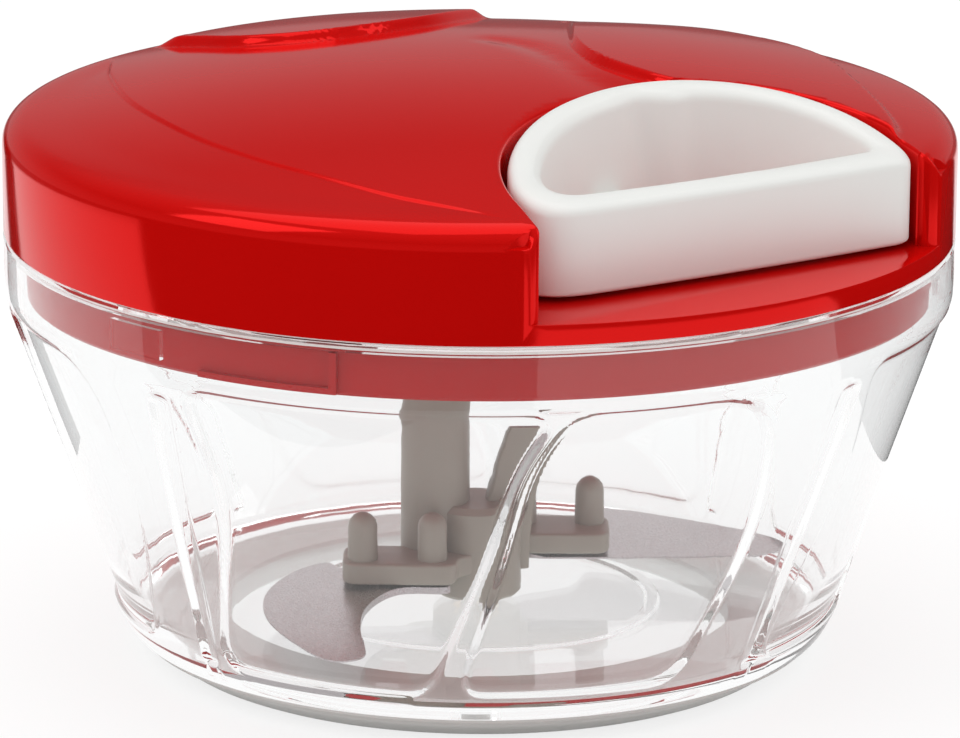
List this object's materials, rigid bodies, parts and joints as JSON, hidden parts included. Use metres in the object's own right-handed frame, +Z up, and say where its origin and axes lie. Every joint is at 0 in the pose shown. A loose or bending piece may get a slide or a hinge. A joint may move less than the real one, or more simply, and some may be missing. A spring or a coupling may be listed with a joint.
{
  "type": "manual food chopper",
  "caption": "Round clear bowl with bladed rotor under a locking lid, spun by pulling a handle on a cord that a sprung reel winds back.",
  "frame": {"origin": "centre of the foot ring's underside, on the axis that the bowl, rotor and lid share", "axes": "+Z up along the rotor's axis, and the handle pulls out towards -Y"},
  "size_m": [0.133, 0.133, 0.0842],
  "materials": {
    "clear_plastic": "clear, polished",
    "foot_rubber": "frosted, soft",
    "steel": "plain",
    "blade_steel": "polished with ground edges",
    "taupe_plastic": "satin",
    "brass": "plain",
    "silicone": "translucent",
    "red_plastic": "high gloss",
    "white_plastic": "soft gloss",
    "inner_plastic": "plain",
    "cord": "braided"
  },
  "bodies": {
    "bowl": {"bowl": "clear_plastic", "foot_ring": "foot_rubber", "centre_pin": "steel"},
    "rotor": {"blade_carrier": "taupe_plastic", "hub_bush": "brass", "lower_blade": "blade_steel", "upper_blade": "blade_steel"},
    "seal": {"seal_ring": "silicone"},
    "lid": {"lid_cover": "red_plastic", "lid_base": "red_plastic", "lid_screw_1": "steel", "lid_screw_2": "steel", "lid_screw_3": "steel", "lid_screw_4": "steel", "cord_guide": "steel", "reel_post": "steel", "reel_screw": "steel", "spring_housing": "inner_plastic", "pull_cord": "cord", "recoil_spring": "blade_steel"},
    "handle": {"pull_handle": "white_plastic", "cord_anchor": "steel"},
    "reel": {"cord_reel": "inner_plastic", "cord_winding": "cord", "drive_cup": "taupe_plastic", "reel_washer": "steel"}
  },
  "joints": [
    {"name": "lid_lift", "type": "slide", "parent": "bowl", "child": "seal", "axis": [0, 0, 1], "range_m": [0, 0.09]},
    {"name": "lid_turn", "type": "hinge", "parent": "seal", "child": "lid", "pos_m": [0, 0, 0.0605], "axis": [0, 0, 1], "range_deg": [-22, 0]},
    {"name": "handle_pull", "type": "slide", "parent": "lid", "child": "handle", "axis": [0, -1, 0], "range_m": [0, 0.26], "stiffness_N_per_m": 20, "springref_m": -0.2, "deforming": ["pull_cord"]},
    {"name": "reel_spin", "type": "hinge", "parent": "lid", "child": "reel", "pos_m": [0, 0, 0.0663], "axis": [0, 0, 1], "continuous": true},
    {"name": "blade_spin", "type": "hinge", "parent": "bowl", "child": "rotor", "pos_m": [0, 0, 0.012], "axis": [0, 0, 1], "continuous": true}
  ],
  "couplings": [
    {"joint": "reel_spin", "follows": "handle_pull", "rad_per_m": 83.333},
    {"joint": "blade_spin", "follows": "handle_pull", "rad_per_m": 83.333}
  ]
}
